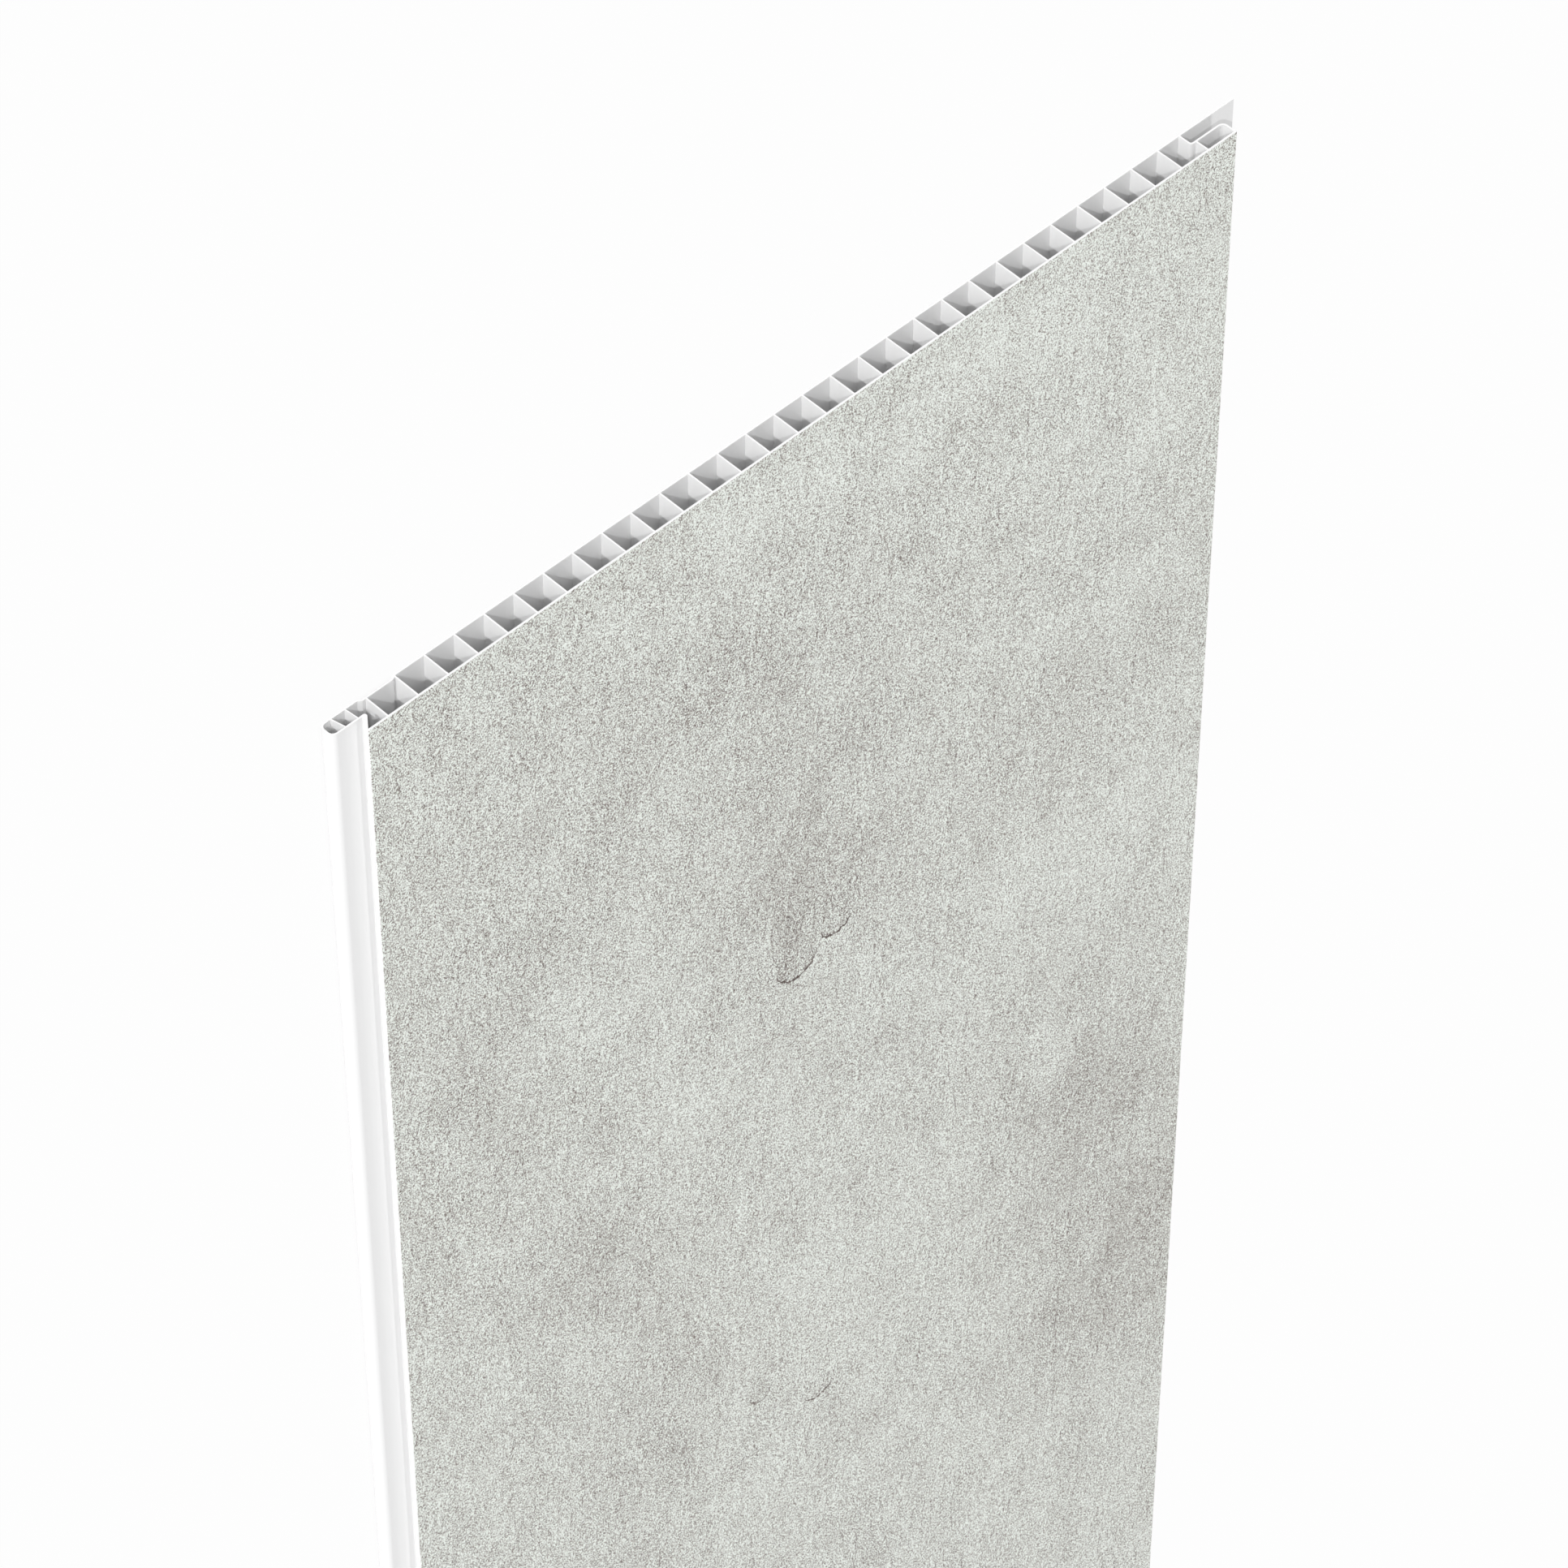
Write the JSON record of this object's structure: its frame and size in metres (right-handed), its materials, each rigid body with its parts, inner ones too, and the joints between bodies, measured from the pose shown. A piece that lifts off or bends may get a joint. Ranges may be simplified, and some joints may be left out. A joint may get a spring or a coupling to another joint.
{
  "type": "pvc wall panel",
  "caption": "Long hollow PVC wall panel with a concrete-look face, a rounded hollow tongue and undercut side wall along its left edge, and a groove with a thin fixing lip along its right edge.",
  "frame": {"origin": "centre of the bounding box's underside, where the back rests on the floor", "axes": "+X across the width towards the tongue, +Y along the length, +Z out of the printed face"},
  "size_m": [0.2632, 2.65, 0.008],
  "materials": {
    "panel_pvc": "satin white PVC, with a matt greenish-grey concrete print on the face"
  },
  "bodies": {
    "root": {"wall_panel": "panel_pvc"}
  },
  "joints": []
}
